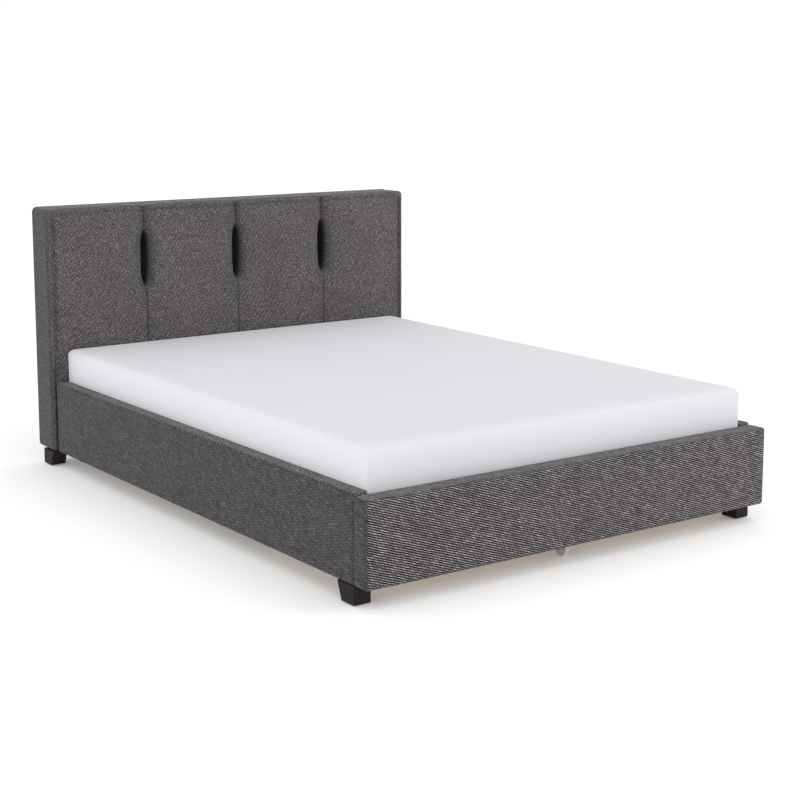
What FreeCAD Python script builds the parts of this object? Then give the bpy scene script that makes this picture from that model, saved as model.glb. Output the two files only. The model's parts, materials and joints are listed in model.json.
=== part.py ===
import FreeCAD, Part
import os
import re
import Sketcher

# Queen-size upholstered platform bed. Its foot panel is the front of a wide drawer that rolls
# out on floor wheels. Frame of the part: +Z up, +Y towards the headboard, +X to the right of
# someone standing at the foot. The origin is on the floor, under the middle of the bed.

os.makedirs("parts", exist_ok=True)
doc = FreeCAD.newDocument("platform_bed")

DIMENSIONS = [
    ("bed_length", 2250, "overall length, drawer front to headboard back"),
    ("bed_width", 1634, "width over the side rails and the drawer front"),
    ("headboard_width", 1660, "overall width of the headboard"),
    ("headboard_top", 1000, "height of the headboard's top above the floor"),
    ("headboard_depth", 140, "front to back thickness of the headboard"),
    ("headboard_pad", 60, "foam and fabric in front of the headboard's panel"),
    ("edge_pad", 12, "foam and fabric over the outer edges of upholstered boards"),
    ("hem_pad", 6, "fabric folded under the lower edges"),
    ("head_panel", 12, "plywood front panel of the headboard"),
    ("back_panel", 8, "fabric-covered hardboard on the headboard's back"),
    ("post_width", 100, "headboard posts, along X"),
    ("stud_size", 60, "headboard rails, height; and the hollow's depth"),
    ("leg_height", 61, "floor to the underside of the rails"),
    ("leg_width", 60, "wooden legs, along X"),
    ("leg_top", 88, "wooden legs, along Y at the top"),
    ("leg_foot", 66, "wooden legs, along Y at the floor"),
    ("head_leg_setback", 40, "headboard back to the rear face of its legs"),
    ("leg_edge", 3, "edge rounding of the wooden legs"),
    ("glide_thick", 3, "plastic glides under the legs"),
    ("glide_diameter", 24, "plastic glides under the legs"),
    ("rail_height", 273, "upholstered side rails"),
    ("rail_thick", 50, "upholstered side rails"),
    ("rail_pad", 14, "foam and fabric on the outer face of rails and drawer front"),
    ("front_height", 266, "upholstered drawer front"),
    ("front_depth", 63, "upholstered drawer front, front to back"),
    ("front_gap", 4, "gap between the drawer front and the rail ends"),
    ("soft_edge", 11, "edge rounding of rails and drawer front"),
    ("head_edge", 26, "edge rounding of the headboard"),
    ("mattress_width", 1524, "queen mattress"),
    ("mattress_length", 2032, "queen mattress"),
    ("mattress_thick", 205, "mattress"),
    ("mattress_wall", 20, "quilted foam shell round the mattress's spring unit"),
    ("mattress_edge", 22, "edge rounding of the mattress"),
    ("mattress_gap", 0.5, "clearance between slats and mattress"),
    ("mattress_back_gap", 2, "clearance between mattress and headboard"),
    ("slat_top", 254, "height of the slats' upper face"),
    ("slat_thick", 20, "slats"),
    ("slat_width", 95, "slats, along Y"),
    ("slat_length", 1520, "slats, along X"),
    ("slat_edge", 4, "edge rounding of the slats"),
    ("slat_first", -1006.5, "middle of the slat nearest the foot, flush with the cross rail"),
    ("slat_last", 930, "middle of the slat nearest the headboard"),
    ("cleat_size", 30, "cleats that carry the slats, square"),
    ("beam_width", 44, "centre beam, along X"),
    ("beam_height", 44, "centre beam, cross rail and ledger, along Z"),
    ("cross_thick", 24, "foot cross rail and head ledger, along Y"),
    ("sheet_metal", 3, "steel brackets and beam hangers"),
    ("hanger_height", 40, "beam hangers, above the seat"),
    ("bracket_height", 80, "headboard brackets"),
    ("bracket_reach", 74, "headboard brackets, length of each flange"),
    ("bracket_bottom", 90, "height of the headboard brackets' lower edge"),
    ("bracket_margin", 2, "foot brackets' edges to the cross rail's edges"),
    ("bolt_diameter", 8, "frame bolts"),
    ("bolt_play", 0.3, "bolt holes' radius minus the bolts' radius"),
    ("bolt_head", 14, "frame bolts, head diameter"),
    ("bolt_head_thick", 5, "frame bolts, head"),
    ("bolt_end_cover", 12, "back panel to the ends of the headboard bolts"),
    ("rail_bolt_bite", 25, "rail bolts, length inside the rail board"),
    ("screw_diameter", 4, "slat screws"),
    ("screw_play", 0.2, "screw holes' radius minus the screws' radius"),
    ("screw_bite", 18, "slat screws, length inside the timber below"),
    ("screw_head", 8, "slat screws, countersunk head"),
    ("support_size", 50, "centre support legs, square"),
    ("support_first", -300, "middle of the front support leg"),
    ("support_last", 420, "middle of the rear support leg"),
    ("box_width", 1470, "drawer box, outside"),
    ("box_depth", 640, "drawer box, front board to the back of the box"),
    ("box_bottom", 60, "height of the drawer box's underside"),
    ("box_height", 123, "drawer box sides"),
    ("box_side", 15, "drawer sides and divider"),
    ("box_panel", 12, "drawer back and bottom panels"),
    ("guide_height", 30, "guide strips on the side rails"),
    ("guide_bottom", 100, "height of the guide strips' lower edge"),
    ("wheel_diameter", 50, "floor wheels"),
    ("wheel_width", 20, "floor wheels, hub width"),
    ("wheel_rim", 17, "floor wheels, tread width"),
    ("wheel_inner", 40, "floor wheels, diameter inside the tread"),
    ("wheel_hub", 18, "floor wheels, hub diameter"),
    ("wheel_web", 8, "floor wheels, thickness between hub and tread"),
    ("wheel_bevel", 1.5, "floor wheels, bevel of the tread's edges"),
    ("wheel_inset", 100, "drawer front's face to the front centre wheel's axle"),
    ("wheel_row_front", -860, "axle of the front left and right wheels"),
    ("wheel_row_rear", -480, "axle of the rear wheels"),
    ("wheel_track", 1200, "distance between the left and right wheels"),
    ("axle_diameter", 6, "wheel axles"),
    ("axle_play", 0.1, "wheels' bore minus the axles' diameter"),
    ("axle_end", 2, "wheel axles, length outside the brackets"),
    ("fork_gap", 24, "space between a wheel bracket's cheeks"),
    ("fork_sheet", 3, "wheel brackets"),
    ("fork_plate", 60, "wheel brackets' top plates, along X"),
    ("fork_length", 34, "wheel brackets, along Y"),
]
SLAT_COUNT = 12
SAME_PLACE = 0.01  # mm
PARALLEL = 0.999  # cosine of the angle between two directions

sheet = doc.addObject("Spreadsheet::Sheet", "dims")
for row, (name, size, meaning) in enumerate(DIMENSIONS, start=1):
    sheet.set(f"A{row}", name)
    sheet.set(f"B{row}", str(size))
    sheet.setAlias(f"B{row}", name)
    sheet.set(f"C{row}", meaning)
doc.recompute()

# Places and sizes that several pieces share, as expressions over the sheet.
FRONT_FACE = "(-bed_length / 2)"
FRONT_BACK = "(-bed_length / 2 + front_depth)"
RAIL_FOOT = "(-bed_length / 2 + front_depth + front_gap)"
HEAD_BACK = "(bed_length / 2)"
HEAD_FACE = "(bed_length / 2 - headboard_depth)"
HEAD_PANEL_FACE = "(bed_length / 2 - headboard_depth + headboard_pad)"
HEAD_HOLLOW = "(bed_length / 2 - headboard_depth + headboard_pad + head_panel)"
HEAD_HOLLOW_DEPTH = "(headboard_depth - headboard_pad - head_panel - back_panel)"
HEAD_CORE_WIDTH = "(headboard_width - 2 * edge_pad)"
HEAD_CORE_BOTTOM = "(leg_height + hem_pad)"
HEAD_CORE_HEIGHT = "(headboard_top - leg_height - hem_pad - edge_pad)"
RAIL_INNER = "(bed_width / 2 - rail_thick)"
RAIL_BOARD = "(rail_thick - rail_pad)"
RAIL_LENGTH = "(bed_length - headboard_depth - front_depth - front_gap)"
SLAT_BOTTOM = "(slat_top - slat_thick)"
BEAM_BOTTOM = "(slat_top - slat_thick - beam_height)"
CROSS_FRONT = "(-bed_length / 2 + front_depth + 2 * front_gap)"
CROSS_BACK = "(-bed_length / 2 + front_depth + 2 * front_gap + cross_thick)"
LEDGER_FRONT = "(bed_length / 2 - headboard_depth - cross_thick)"
SIDES = (("left", "-1"), ("right", "1"))

nodes = []


def cells(text):
    """An expression with each plain word turned into a reference to the sheet's cell."""
    return re.sub(r"[a-z][a-z_]+", lambda word: "dims." + word.group(), text)


def number(text):
    """The present value of an expression over the sheet."""
    return float(sheet.evalExpression(cells(text)))


def bind(item, **expressions):
    for prop, text in expressions.items():
        item.setExpression(prop, cells(text))


def place(item, x, y, z):
    """Bind an item's own origin to a place in the bed's frame."""
    for axis, text in zip("xyz", (x, y, z)):
        item.setExpression(f".Placement.Base.{axis}", cells(text))
    return item


def node(item, label):
    """Name a finished sub-part and keep it for export."""
    item.Label = label
    nodes.append(item)
    return item


# ---- sketches and features -------------------------------------------------------------------


def new_body(label):
    body = doc.addObject("PartDesign::Body", "Body")
    body.Label = label
    return body


def sketch_on(body, role):
    """An empty sketch on one of the body's own origin planes, such as XY_Plane."""
    sketch = body.newObject("Sketcher::SketchObject", "Sketch")
    plane = [feature for feature in body.Origin.OriginFeatures if feature.Role == role][0]
    sketch.AttachmentSupport = [(plane, "")]
    sketch.MapMode = "FlatFace"
    return sketch


def fix_point(sketch, geometry, corner, x, y):
    """Hold a point of the sketch at a place given by two expressions."""
    for kind, text in (("DistanceX", x), ("DistanceY", y)):
        index = sketch.addConstraint(
            Sketcher.Constraint(kind, -1, 1, geometry, corner, number(text))
        )
        sketch.setExpression(f"Constraints[{index}]", cells(text))


def polygon(sketch, points):
    """A closed outline with straight sides through points given as pairs of expressions."""
    corners = [FreeCAD.Vector(number(x), number(y), 0) for x, y in points]
    first = sketch.GeometryCount
    count = len(corners)
    for i in range(count):
        sketch.addGeometry(Part.LineSegment(corners[i], corners[(i + 1) % count]), False)
    for i in range(count):
        following = first + (i + 1) % count
        sketch.addConstraint(Sketcher.Constraint("Coincident", first + i, 2, following, 1))
    for i, (x, y) in enumerate(points):
        fix_point(sketch, first + i, 1, x, y)


def rectangle(sketch, x_low, y_low, x_high, y_high):
    polygon(sketch, [(x_low, y_low), (x_high, y_low), (x_high, y_high), (x_low, y_high)])


def circle(sketch, x, y, radius):
    centre = FreeCAD.Vector(number(x), number(y), 0)
    up = FreeCAD.Vector(0, 0, 1)
    index = sketch.addGeometry(Part.Circle(centre, up, number(radius)), False)
    fix_point(sketch, index, 3, x, y)
    constraint = sketch.addConstraint(Sketcher.Constraint("Radius", index, number(radius)))
    sketch.setExpression(f"Constraints[{constraint}]", cells(radius))


def pad(body, sketch, length, midplane=False):
    feature = body.newObject("PartDesign::Pad", "Pad")
    feature.Profile = sketch
    feature.Midplane = midplane
    bind(feature, Length=length)
    doc.recompute()
    return feature


def pocket(body, sketch, depth, midplane=False):
    """Cut along the sketch's normal, the way a pad on the same plane would grow."""
    before = body.Shape.Volume
    feature = body.newObject("PartDesign::Pocket", "Pocket")
    feature.Profile = sketch
    feature.Midplane = midplane
    feature.Reversed = not midplane
    bind(feature, Length=depth)
    doc.recompute()
    if body.Shape.Volume >= before:
        raise RuntimeError(f"{body.Label}: a pocket cut nothing")
    return feature


def fillet(body, radius, chosen):
    """Round the edges of the body's present shape that pass the test."""
    base = body.Tip
    names = [f"Edge{i}" for i, edge in enumerate(base.Shape.Edges, start=1) if chosen(edge)]
    feature = body.newObject("PartDesign::Fillet", "Fillet")
    feature.Base = (base, names)
    bind(feature, Radius=radius)
    doc.recompute()
    return feature


def lies_at(edge, axis, text):
    """True when a whole edge has one coordinate, in the body's own frame."""
    box = edge.BoundBox
    spans = {"x": (box.XMin, box.XMax), "y": (box.YMin, box.YMax), "z": (box.ZMin, box.ZMax)}
    low, high = spans[axis]
    return abs(low - number(text)) < SAME_PLACE and abs(high - number(text)) < SAME_PLACE


def runs_along(edge, axis):
    """True for a straight edge parallel to an axis."""
    direction = {"x": (1, 0, 0), "y": (0, 1, 0), "z": (0, 0, 1)}[axis]
    if edge.Curve.TypeId != "Part::GeomLine":
        return False
    return abs(edge.Curve.Direction.dot(FreeCAD.Vector(*direction))) > PARALLEL


# ---- plain pieces ----------------------------------------------------------------------------


def block(x_middle, y_low, z_low, length, width, height):
    """A box by the middle of its length along X and its lowest Y and Z."""
    box = doc.addObject("Part::Box", "Box")
    bind(box, Length=length, Width=width, Height=height)
    return place(box, f"{x_middle} - {length} / 2", y_low, z_low)


def board(label, *sizes):
    return node(block(*sizes), label)


def rod(x, y, z, direction, radius, length):
    """A cylinder that starts at x, y, z and runs along a direction."""
    cylinder = doc.addObject("Part::Cylinder", "Cylinder")
    bind(cylinder, Radius=radius, Height=length)
    turn = FreeCAD.Rotation(FreeCAD.Vector(0, 0, 1), FreeCAD.Vector(*direction))
    cylinder.Placement = FreeCAD.Placement(FreeCAD.Vector(), turn)
    return place(cylinder, x, y, z)


def group(label, pieces):
    """Identical separate pieces that share one node."""
    compound = doc.addObject("Part::Compound", "Compound")
    compound.Links = pieces
    return node(compound, label)


def fused(*pieces):
    fuse = doc.addObject("Part::MultiFuse", "Fusion")
    fuse.Shapes = list(pieces)
    return fuse


def drilled(piece, holes):
    """A piece with clearance holes where the given rods pass."""
    tools = doc.addObject("Part::Compound", "Holes")
    tools.Links = holes
    cut = doc.addObject("Part::Cut", "Drilled")
    cut.Base = piece
    cut.Tool = tools
    return cut


# ---- upholstery ------------------------------------------------------------------------------


def upholstered_tray(label, width, height, depth, end_pad, top_pad, face_pad, rounding,
                     round_top=False):
    """Foam and fabric wrapped over a board: a block with a recess for the board in its back.

    The padded face looks along -Y. The body's origin is in the middle of the back's lower edge.
    """
    body = new_body(label)
    outline = sketch_on(body, "XZ_Plane")
    rectangle(outline, f"-{width} / 2", "0", f"{width} / 2", height)
    pad(body, outline, depth)
    if round_top:
        fillet(body, rounding, lambda edge: runs_along(edge, "y") and lies_at(edge, "z", height))
    fillet(body, rounding, lambda edge: lies_at(edge, "y", f"-{depth}"))
    recess = sketch_on(body, "XZ_Plane")
    rectangle(recess, f"-{width} / 2 + {end_pad}", "hem_pad",
              f"{width} / 2 - {end_pad}", f"{height} - {top_pad}")
    pocket(body, recess, f"{depth} - {face_pad}")
    return body


# ---- headboard -------------------------------------------------------------------------------

BOLT_X = f"({RAIL_INNER} - bracket_reach / 2)"
BOLT_LEVELS = ("(bracket_bottom + bracket_height / 4)", "(bracket_bottom + 3 * bracket_height / 4)")


def headboard_bolt_holes():
    """Clearance rods along Y for the bolts through pad, panel and posts."""
    return [
        rod(f"{sign} * {BOLT_X}", f"{HEAD_FACE} - sheet_metal", level, (0, 1, 0),
            "(bolt_diameter / 2 + bolt_play)", "(sheet_metal + headboard_depth - back_panel)")
        for side, sign in SIDES
        for level in BOLT_LEVELS
    ]


def make_headboard_cover():
    """Foam and fabric tray over the front, top, sides and lower edge of the headboard."""
    height = "(headboard_top - leg_height)"
    tray = upholstered_tray("headboard_cover_body", "headboard_width", height, "headboard_depth",
                            "edge_pad", "edge_pad", "headboard_pad", "head_edge", round_top=True)
    place(tray, "0", HEAD_BACK, "leg_height")
    node(drilled(tray, headboard_bolt_holes()), "headboard_cover")


def make_headboard_frame():
    """Posts, rails, front panel and back panel inside the headboard."""
    rail_length = f"({HEAD_CORE_WIDTH} - 2 * post_width)"
    panel = block("0", HEAD_PANEL_FACE, HEAD_CORE_BOTTOM,
                  HEAD_CORE_WIDTH, "head_panel", HEAD_CORE_HEIGHT)
    node(drilled(panel, headboard_bolt_holes()), "headboard_front_panel")
    for side, sign in SIDES:
        middle = f"{sign} * ({HEAD_CORE_WIDTH} / 2 - post_width / 2)"
        board(f"headboard_post_{side}", middle, HEAD_HOLLOW, HEAD_CORE_BOTTOM,
              "post_width", HEAD_HOLLOW_DEPTH, HEAD_CORE_HEIGHT)
    levels = {
        "bottom": HEAD_CORE_BOTTOM,
        "mid": f"({HEAD_CORE_BOTTOM} + {HEAD_CORE_HEIGHT} / 2 - stud_size / 2)",
        "top": f"({HEAD_CORE_BOTTOM} + {HEAD_CORE_HEIGHT} - stud_size)",
    }
    for name, level in levels.items():
        board(f"headboard_{name}_rail", "0", HEAD_HOLLOW, level,
              rail_length, HEAD_HOLLOW_DEPTH, "stud_size")
    board("headboard_back_panel", "0", f"{HEAD_BACK} - back_panel", HEAD_CORE_BOTTOM,
          HEAD_CORE_WIDTH, "back_panel", HEAD_CORE_HEIGHT)


# ---- legs ------------------------------------------------------------------------------------


def make_leg(label, x_middle, y_face, towards):
    """A wooden leg with one upright face and one that tapers, which points along Y by sign."""
    body = new_body(label)
    outline = sketch_on(body, "YZ_Plane")
    height = "leg_height - glide_thick"
    polygon(outline, [("0", "0"), (f"{towards} * leg_foot", "0"),
                      (f"{towards} * leg_top", height), ("0", height)])
    pad(body, outline, "leg_width", midplane=True)
    fillet(body, "leg_edge", lambda edge: not lies_at(edge, "z", height))
    place(body, x_middle, y_face, "glide_thick")
    node(body, label)


def make_legs():
    glides = []
    for side, sign in SIDES:
        foot_x = f"{sign} * (bed_width / 2 - leg_width / 2)"
        head_x = f"{sign} * (headboard_width / 2 - leg_width / 2)"
        head_y = f"({HEAD_BACK} - head_leg_setback)"
        make_leg(f"foot_leg_{side}", foot_x, RAIL_FOOT, "1")
        make_leg(f"headboard_leg_{side}", head_x, head_y, "-1")
        glides.append((foot_x, f"{RAIL_FOOT} + leg_foot / 2"))
        glides.append((head_x, f"{head_y} - leg_foot / 2"))
    for name, y in (("front", "support_first"), ("rear", "support_last")):
        board(f"centre_leg_{name}", "0", f"{y} - support_size / 2", "glide_thick",
              "support_size", "support_size", f"({BEAM_BOTTOM} - glide_thick)")
        glides.append(("0", y))
    group("leg_glides", [
        rod(x, y, "0", (0, 0, 1), "glide_diameter / 2", "glide_thick") for x, y in glides
    ])


# ---- side rails ------------------------------------------------------------------------------


def make_side_rail(side, sign):
    """A board in a tray of foam and fabric that opens towards the bed's middle."""
    board(f"side_rail_board_{side}", f"{sign} * ({RAIL_INNER} + {RAIL_BOARD} / 2)",
          f"({RAIL_FOOT} + hem_pad)", "(leg_height + hem_pad)",
          RAIL_BOARD, f"({RAIL_LENGTH} - 2 * hem_pad)", "(rail_height - hem_pad - edge_pad)")
    tray = upholstered_tray(f"side_rail_cover_{side}", RAIL_LENGTH, "rail_height", "rail_thick",
                            "hem_pad", "edge_pad", "rail_pad", "soft_edge")
    quarter_turn = FreeCAD.Rotation(FreeCAD.Vector(0, 0, 1), int(sign) * 90)
    tray.Placement = FreeCAD.Placement(FreeCAD.Vector(), quarter_turn)
    place(tray, f"{sign} * {RAIL_INNER}", f"{RAIL_FOOT} + {RAIL_LENGTH} / 2", "leg_height")
    node(tray, f"side_rail_cover_{side}")


# ---- slat deck -------------------------------------------------------------------------------


SCREW_X = f"({RAIL_INNER} - cleat_size / 2)"
SCREW_REACH = "(slat_thick + screw_bite)"
SCREW_HEAD_THICK = "((screw_head - screw_diameter) / 2)"


def slat_place(i):
    """Middle of slat i along Y, counted from the foot."""
    return f"(slat_first + {i} * (slat_last - slat_first) / {SLAT_COUNT - 1})"


def screw_place(i):
    """The first slat is screwed to the foot cross rail, every other one to the cleats."""
    return f"({CROSS_FRONT} + cross_thick / 2)" if i == 0 else slat_place(i)


def make_slat(i):
    body = new_body(f"slat_{i + 1:02d}")
    outline = sketch_on(body, "XY_Plane")
    rectangle(outline, "-slat_length / 2", "-slat_width / 2", "slat_length / 2", "slat_width / 2")
    pad(body, outline, "slat_thick")
    fillet(body, "slat_edge", lambda edge: runs_along(edge, "x"))
    holes = sketch_on(body, "XY_Plane")
    for side, sign in SIDES:
        circle(holes, f"{sign} * {SCREW_X}", f"({screw_place(i)} - {slat_place(i)})",
               "screw_diameter / 2 + screw_play")
    pocket(body, holes, "slat_thick")
    place(body, "0", slat_place(i), SLAT_BOTTOM)
    node(body, body.Label)


def slat_screw(x, y):
    """A screw whose head is sunk flush in the slat and whose shank ends in the timber below."""
    shank = rod(x, y, f"slat_top - {SCREW_REACH}", (0, 0, 1), "screw_diameter / 2", SCREW_REACH)
    head = rod(x, y, f"slat_top - {SCREW_HEAD_THICK}", (0, 0, 1), "screw_head / 2", SCREW_HEAD_THICK)
    return fused(shank, head)


def make_deck():
    """Cleats, foot cross rail, head ledger, centre beam with its hangers, slats and screws."""
    cleat_foot = f"({CROSS_BACK} + bracket_reach)"
    cleat_length = f"({HEAD_FACE} - {cleat_foot} - sheet_metal)"
    for side, sign in SIDES:
        board(f"slat_cleat_{side}", f"{sign} * {SCREW_X}", cleat_foot,
              f"({SLAT_BOTTOM} - cleat_size)", "cleat_size", cleat_length, "cleat_size")
    board("foot_cross_rail", "0", CROSS_FRONT, BEAM_BOTTOM,
          f"(2 * {RAIL_INNER})", "cross_thick", "beam_height")
    board("head_ledger", "0", LEDGER_FRONT, BEAM_BOTTOM,
          f"(2 * ({RAIL_INNER} - cleat_size))", "cross_thick", "beam_height")
    board("centre_beam", "0", f"({CROSS_BACK} + sheet_metal)", BEAM_BOTTOM, "beam_width",
          f"({LEDGER_FRONT} - {CROSS_BACK} - 2 * sheet_metal)", "beam_height")
    group("beam_hangers", [make_hanger(CROSS_BACK, "-1"), make_hanger(LEDGER_FRONT, "1")])
    for i in range(SLAT_COUNT):
        make_slat(i)
    group("slat_screws", [
        slat_screw(f"{sign} * {SCREW_X}", screw_place(i))
        for i in range(SLAT_COUNT)
        for side, sign in SIDES
    ])


def make_hanger(y_face, facing):
    """A steel seat for one end of the centre beam; its back plate stands against a cross member."""
    body = new_body("beam_hanger")
    half = "(beam_width / 2)"
    seat = sketch_on(body, "XZ_Plane")
    polygon(seat, [
        (f"-{half} - sheet_metal", "-sheet_metal"), (f"{half} + sheet_metal", "-sheet_metal"),
        (f"{half} + sheet_metal", "hanger_height"), (half, "hanger_height"),
        (half, "0"), (f"-{half}", "0"),
        (f"-{half}", "hanger_height"), (f"-{half} - sheet_metal", "hanger_height"),
    ])
    seat_pad = pad(body, seat, "beam_width")
    seat_pad.Reversed = facing == "-1"
    ears = sketch_on(body, "XZ_Plane")
    rectangle(ears, "-beam_width", "-sheet_metal", "beam_width", "hanger_height")
    ear_pad = pad(body, ears, "sheet_metal")
    ear_pad.Reversed = facing == "-1"
    place(body, "0", y_face, BEAM_BOTTOM)
    return body


# ---- brackets and bolts ----------------------------------------------------------------------


FOOT_BRACKET_HEIGHT = "(beam_height - 2 * bracket_margin)"


def angle_bracket(x_sign, y_sign, x_face, y_face, z_low, height, hole_levels):
    """A steel angle in the corner between a side rail and a cross member, with bolt holes."""
    body = new_body("angle_bracket")
    away = "-1" if x_sign == "1" else "1"
    section = sketch_on(body, "XY_Plane")
    polygon(section, [
        ("0", "0"), (f"{away} * bracket_reach", "0"),
        (f"{away} * bracket_reach", f"{y_sign} * sheet_metal"),
        (f"{away} * sheet_metal", f"{y_sign} * sheet_metal"),
        (f"{away} * sheet_metal", f"{y_sign} * bracket_reach"),
        ("0", f"{y_sign} * bracket_reach"),
    ])
    pad(body, section, height)
    through_rail = sketch_on(body, "YZ_Plane")
    through_cross = sketch_on(body, "XZ_Plane")
    bore = "bolt_diameter / 2 + bolt_play"
    for level in hole_levels:
        circle(through_rail, f"{y_sign} * bracket_reach / 2", level, bore)
        circle(through_cross, f"{away} * bracket_reach / 2", level, bore)
    pocket(body, through_rail, "4 * sheet_metal", midplane=True)
    pocket(body, through_cross, "4 * sheet_metal", midplane=True)
    place(body, x_face, y_face, z_low)
    return body


def bolt(x, y, z, direction, shank):
    """A flat-headed bolt: its shank runs along a direction from the bracket's face."""
    back = [f"{text} - {component} * bolt_head_thick"
            for text, component in zip((x, y, z), direction)]
    head = rod(*back, direction, "bolt_head / 2", "bolt_head_thick")
    return fused(head, rod(x, y, z, direction, "bolt_diameter / 2", shank))


def make_brackets():
    """Steel angles that join the side rails to the headboard and to the foot cross rail."""
    head_levels = ("bracket_height / 4", "3 * bracket_height / 4")
    foot_levels = (f"{FOOT_BRACKET_HEIGHT} / 2",)
    foot_low = f"({BEAM_BOTTOM} + bracket_margin)"
    long_shank = "(sheet_metal + headboard_depth - back_panel - bolt_end_cover)"
    rail_shank = "(sheet_metal + rail_bolt_bite)"
    head, foot, long_bolts, short_bolts = [], [], [], []
    for side, sign in SIDES:
        inner = f"{sign} * {RAIL_INNER}"
        head.append(angle_bracket(sign, "-1", inner, HEAD_FACE,
                                  "bracket_bottom", "bracket_height", head_levels))
        foot.append(angle_bracket(sign, "1", inner, CROSS_BACK,
                                  foot_low, FOOT_BRACKET_HEIGHT, foot_levels))
        into_rail = (int(sign), 0, 0)
        rail_x = f"{sign} * ({RAIL_INNER} - sheet_metal)"
        for level in BOLT_LEVELS:
            long_bolts.append(bolt(f"{sign} * {BOLT_X}", f"({HEAD_FACE} - sheet_metal)", level,
                                   (0, 1, 0), long_shank))
            short_bolts.append(bolt(rail_x, f"({HEAD_FACE} - bracket_reach / 2)", level,
                                    into_rail, rail_shank))
        short_bolts.append(bolt(rail_x, f"({CROSS_BACK} + bracket_reach / 2)",
                                f"({foot_low} + {FOOT_BRACKET_HEIGHT} / 2)", into_rail, rail_shank))
    group("headboard_brackets", head)
    group("foot_brackets", foot)
    group("headboard_bolts", long_bolts)
    group("rail_bolts", short_bolts)


# ---- drawer ----------------------------------------------------------------------------------

BOX_INNER_DEPTH = "(box_depth - box_panel)"
HALF_BOTTOM = "((box_width - 3 * box_side) / 2)"


def make_drawer_front():
    """The upholstered foot panel: a board in a tray of foam and fabric."""
    board("drawer_front_board", "0", f"({FRONT_FACE} + rail_pad)", "(leg_height + hem_pad)",
          "(bed_width - 2 * edge_pad)", "(front_depth - rail_pad)",
          "(front_height - hem_pad - edge_pad)")
    tray = upholstered_tray("drawer_front_cover", "bed_width", "front_height", "front_depth",
                            "edge_pad", "edge_pad", "rail_pad", "soft_edge")
    place(tray, "0", FRONT_BACK, "leg_height")
    node(tray, "drawer_front_cover")


def make_drawer_box():
    """Sides, back, middle divider and two bottom panels, open at the top."""
    for side, sign in SIDES:
        board(f"drawer_side_{side}", f"{sign} * (box_width / 2 - box_side / 2)", FRONT_BACK,
              "box_bottom", "box_side", "box_depth", "box_height")
        board(f"drawer_bottom_{side}", f"{sign} * (box_side / 2 + {HALF_BOTTOM} / 2)", FRONT_BACK,
              "box_bottom", HALF_BOTTOM, BOX_INNER_DEPTH, "box_panel")
    board("drawer_back", "0", f"({FRONT_BACK} + {BOX_INNER_DEPTH})", "box_bottom",
          "(box_width - 2 * box_side)", "box_panel", "box_height")
    board("drawer_divider", "0", FRONT_BACK, "box_bottom",
          "box_side", BOX_INNER_DEPTH, "box_height")


def make_guides():
    """Wooden strips on the side rails that keep the drawer box straight."""
    for side, sign in SIDES:
        board(f"drawer_guide_{side}", f"{sign} * {SCREW_X}", CROSS_FRONT,
              "guide_bottom", "cleat_size", "box_depth", "guide_height")


# ---- wheels ----------------------------------------------------------------------------------

WHEELS = {
    "wheel_front_centre": ("0", f"({FRONT_FACE} + wheel_inset)"),
    "wheel_front_left": ("-wheel_track / 2", "wheel_row_front"),
    "wheel_front_right": ("wheel_track / 2", "wheel_row_front"),
    "wheel_rear_left": ("-wheel_track / 2", "wheel_row_rear"),
    "wheel_rear_right": ("wheel_track / 2", "wheel_row_rear"),
}


def make_wheel(label, x, y):
    """A moulded wheel, turned about its axle: hub, thin web and a bevelled tread."""
    body = new_body(label)
    hub, rim, web = "wheel_width / 2", "wheel_rim / 2", "wheel_web / 2"
    bore, hub_radius = "(axle_diameter + axle_play) / 2", "wheel_hub / 2"
    inner, tread = "wheel_inner / 2", "wheel_diameter / 2"
    half = [(hub, bore), (hub, hub_radius), (web, hub_radius), (web, inner), (rim, inner),
            (rim, f"{tread} - wheel_bevel"), (f"{rim} - wheel_bevel", tread)]
    section = sketch_on(body, "XY_Plane")
    polygon(section, half + [(f"-({across})", out) for across, out in reversed(half)])
    turned = body.newObject("PartDesign::Revolution", "Revolution")
    turned.Profile = section
    axle_line = [feature for feature in body.Origin.OriginFeatures if feature.Role == "X_Axis"][0]
    turned.ReferenceAxis = (axle_line, [""])
    turned.Angle = 360
    doc.recompute()
    place(body, x, y, "wheel_diameter / 2")
    node(body, label)


def wheel_bracket(x, y):
    """A folded steel bracket: top plate on the drawer's underside and a cheek on each side."""
    body = new_body("wheel_bracket")
    cheek_in, cheek_out = "fork_gap / 2", "(fork_gap / 2 + fork_sheet)"
    lowest = "-(box_bottom - wheel_diameter / 2 + axle_diameter)"
    half = [("fork_plate / 2", "0"), ("fork_plate / 2", "-fork_sheet"), (cheek_out, "-fork_sheet"),
            (cheek_out, lowest), (cheek_in, lowest), (cheek_in, "-fork_sheet")]
    section = sketch_on(body, "XZ_Plane")
    polygon(section, half + [(f"-({across})", up) for across, up in reversed(half)])
    pad(body, section, "fork_length", midplane=True)
    bore = sketch_on(body, "YZ_Plane")
    circle(bore, "0", "-(box_bottom - wheel_diameter / 2)", "axle_diameter / 2")
    pocket(body, bore, "2 * fork_plate", midplane=True)
    place(body, x, y, "box_bottom")
    return body


def wheel_axle(x, y):
    reach = "(fork_gap / 2 + fork_sheet + axle_end)"
    return rod(f"{x} - {reach}", y, "wheel_diameter / 2", (1, 0, 0), "axle_diameter / 2", f"2 * {reach}")


def make_wheels():
    for label, (x, y) in WHEELS.items():
        make_wheel(label, x, y)
    group("wheel_brackets", [wheel_bracket(x, y) for x, y in WHEELS.values()])
    group("wheel_axles", [wheel_axle(x, y) for x, y in WHEELS.values()])


# ---- mattress --------------------------------------------------------------------------------


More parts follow.
